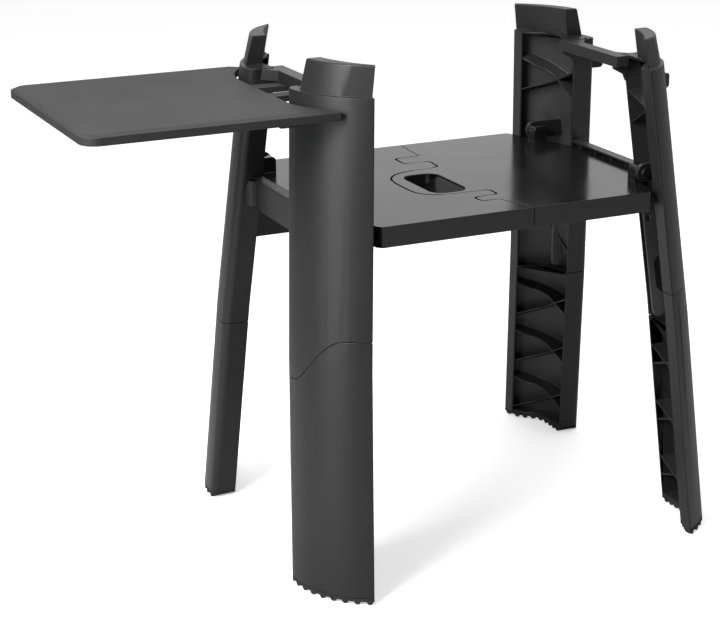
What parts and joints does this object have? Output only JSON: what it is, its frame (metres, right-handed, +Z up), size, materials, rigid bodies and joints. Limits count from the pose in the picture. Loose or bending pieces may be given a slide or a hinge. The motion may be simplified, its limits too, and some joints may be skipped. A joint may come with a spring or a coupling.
{
  "type": "folding appliance stand",
  "caption": "Free-standing folding stand with curved splayed legs, a fold-up shelf with a hand-hole handle, socket posts on top and a hang-on side table.",
  "frame": {"origin": "on the floor under the middle of the whole object, side table included", "axes": "+Z up, +X from the side table towards the stand, +Y towards the back"},
  "size_m": [0.8754, 0.524, 0.6795],
  "materials": {
    "frame_plastic": "satin moulded black",
    "shelf_plastic": "semi-gloss moulded black",
    "table_plastic": "fine-grained matt black",
    "sole_rubber": "matt black",
    "pin_steel": "satin"
  },
  "bodies": {
    "left_frame": {"left_side_frame": "frame_plastic", "left_back_lower_leg": "frame_plastic", "left_back_foot_sole": "sole_rubber", "left_back_leg_latch": "frame_plastic", "left_back_shelf_pin": "pin_steel", "left_front_lower_leg": "frame_plastic", "left_front_foot_sole": "sole_rubber", "left_front_leg_latch": "frame_plastic", "left_front_shelf_pin": "pin_steel"},
    "right_frame": {"right_side_frame": "frame_plastic", "right_back_lower_leg": "frame_plastic", "right_back_foot_sole": "sole_rubber", "right_back_leg_latch": "frame_plastic", "right_back_shelf_pin": "pin_steel", "right_front_lower_leg": "frame_plastic", "right_front_foot_sole": "sole_rubber", "right_front_leg_latch": "frame_plastic", "right_front_shelf_pin": "pin_steel"},
    "left_shelf": {"left_shelf_half": "shelf_plastic"},
    "right_shelf": {"right_shelf_half": "shelf_plastic", "back_centre_pin": "pin_steel", "front_centre_pin": "pin_steel"},
    "side_table": {"side_table": "table_plastic"}
  },
  "joints": [
    {"name": "shelf_fold", "type": "hinge", "parent": "left_frame", "child": "left_shelf", "pos_m": [-0.08885, 0, 0.494], "axis": [0, -1, 0], "range_deg": [0, 76]},
    {"name": "shelf_centre", "type": "hinge", "parent": "left_shelf", "child": "right_shelf", "pos_m": [0.12815, 0, 0.458], "axis": [0, -1, 0], "range_deg": [-152, 0]},
    {"name": "right_frame_hinge", "type": "hinge", "parent": "right_shelf", "child": "right_frame", "pos_m": [0.34515, 0, 0.494], "axis": [0, -1, 0], "range_deg": [0, 76]},
    {"name": "table_tilt", "type": "hinge", "parent": "left_frame", "child": "side_table", "pos_m": [-0.15485, 0, 0.6134], "axis": [0, 1, 0], "range_deg": [0, 8]}
  ],
  "couplings": [
    {"joint": "shelf_centre", "follows": "shelf_fold", "ratio": -2},
    {"joint": "right_frame_hinge", "follows": "shelf_fold", "ratio": 1}
  ]
}
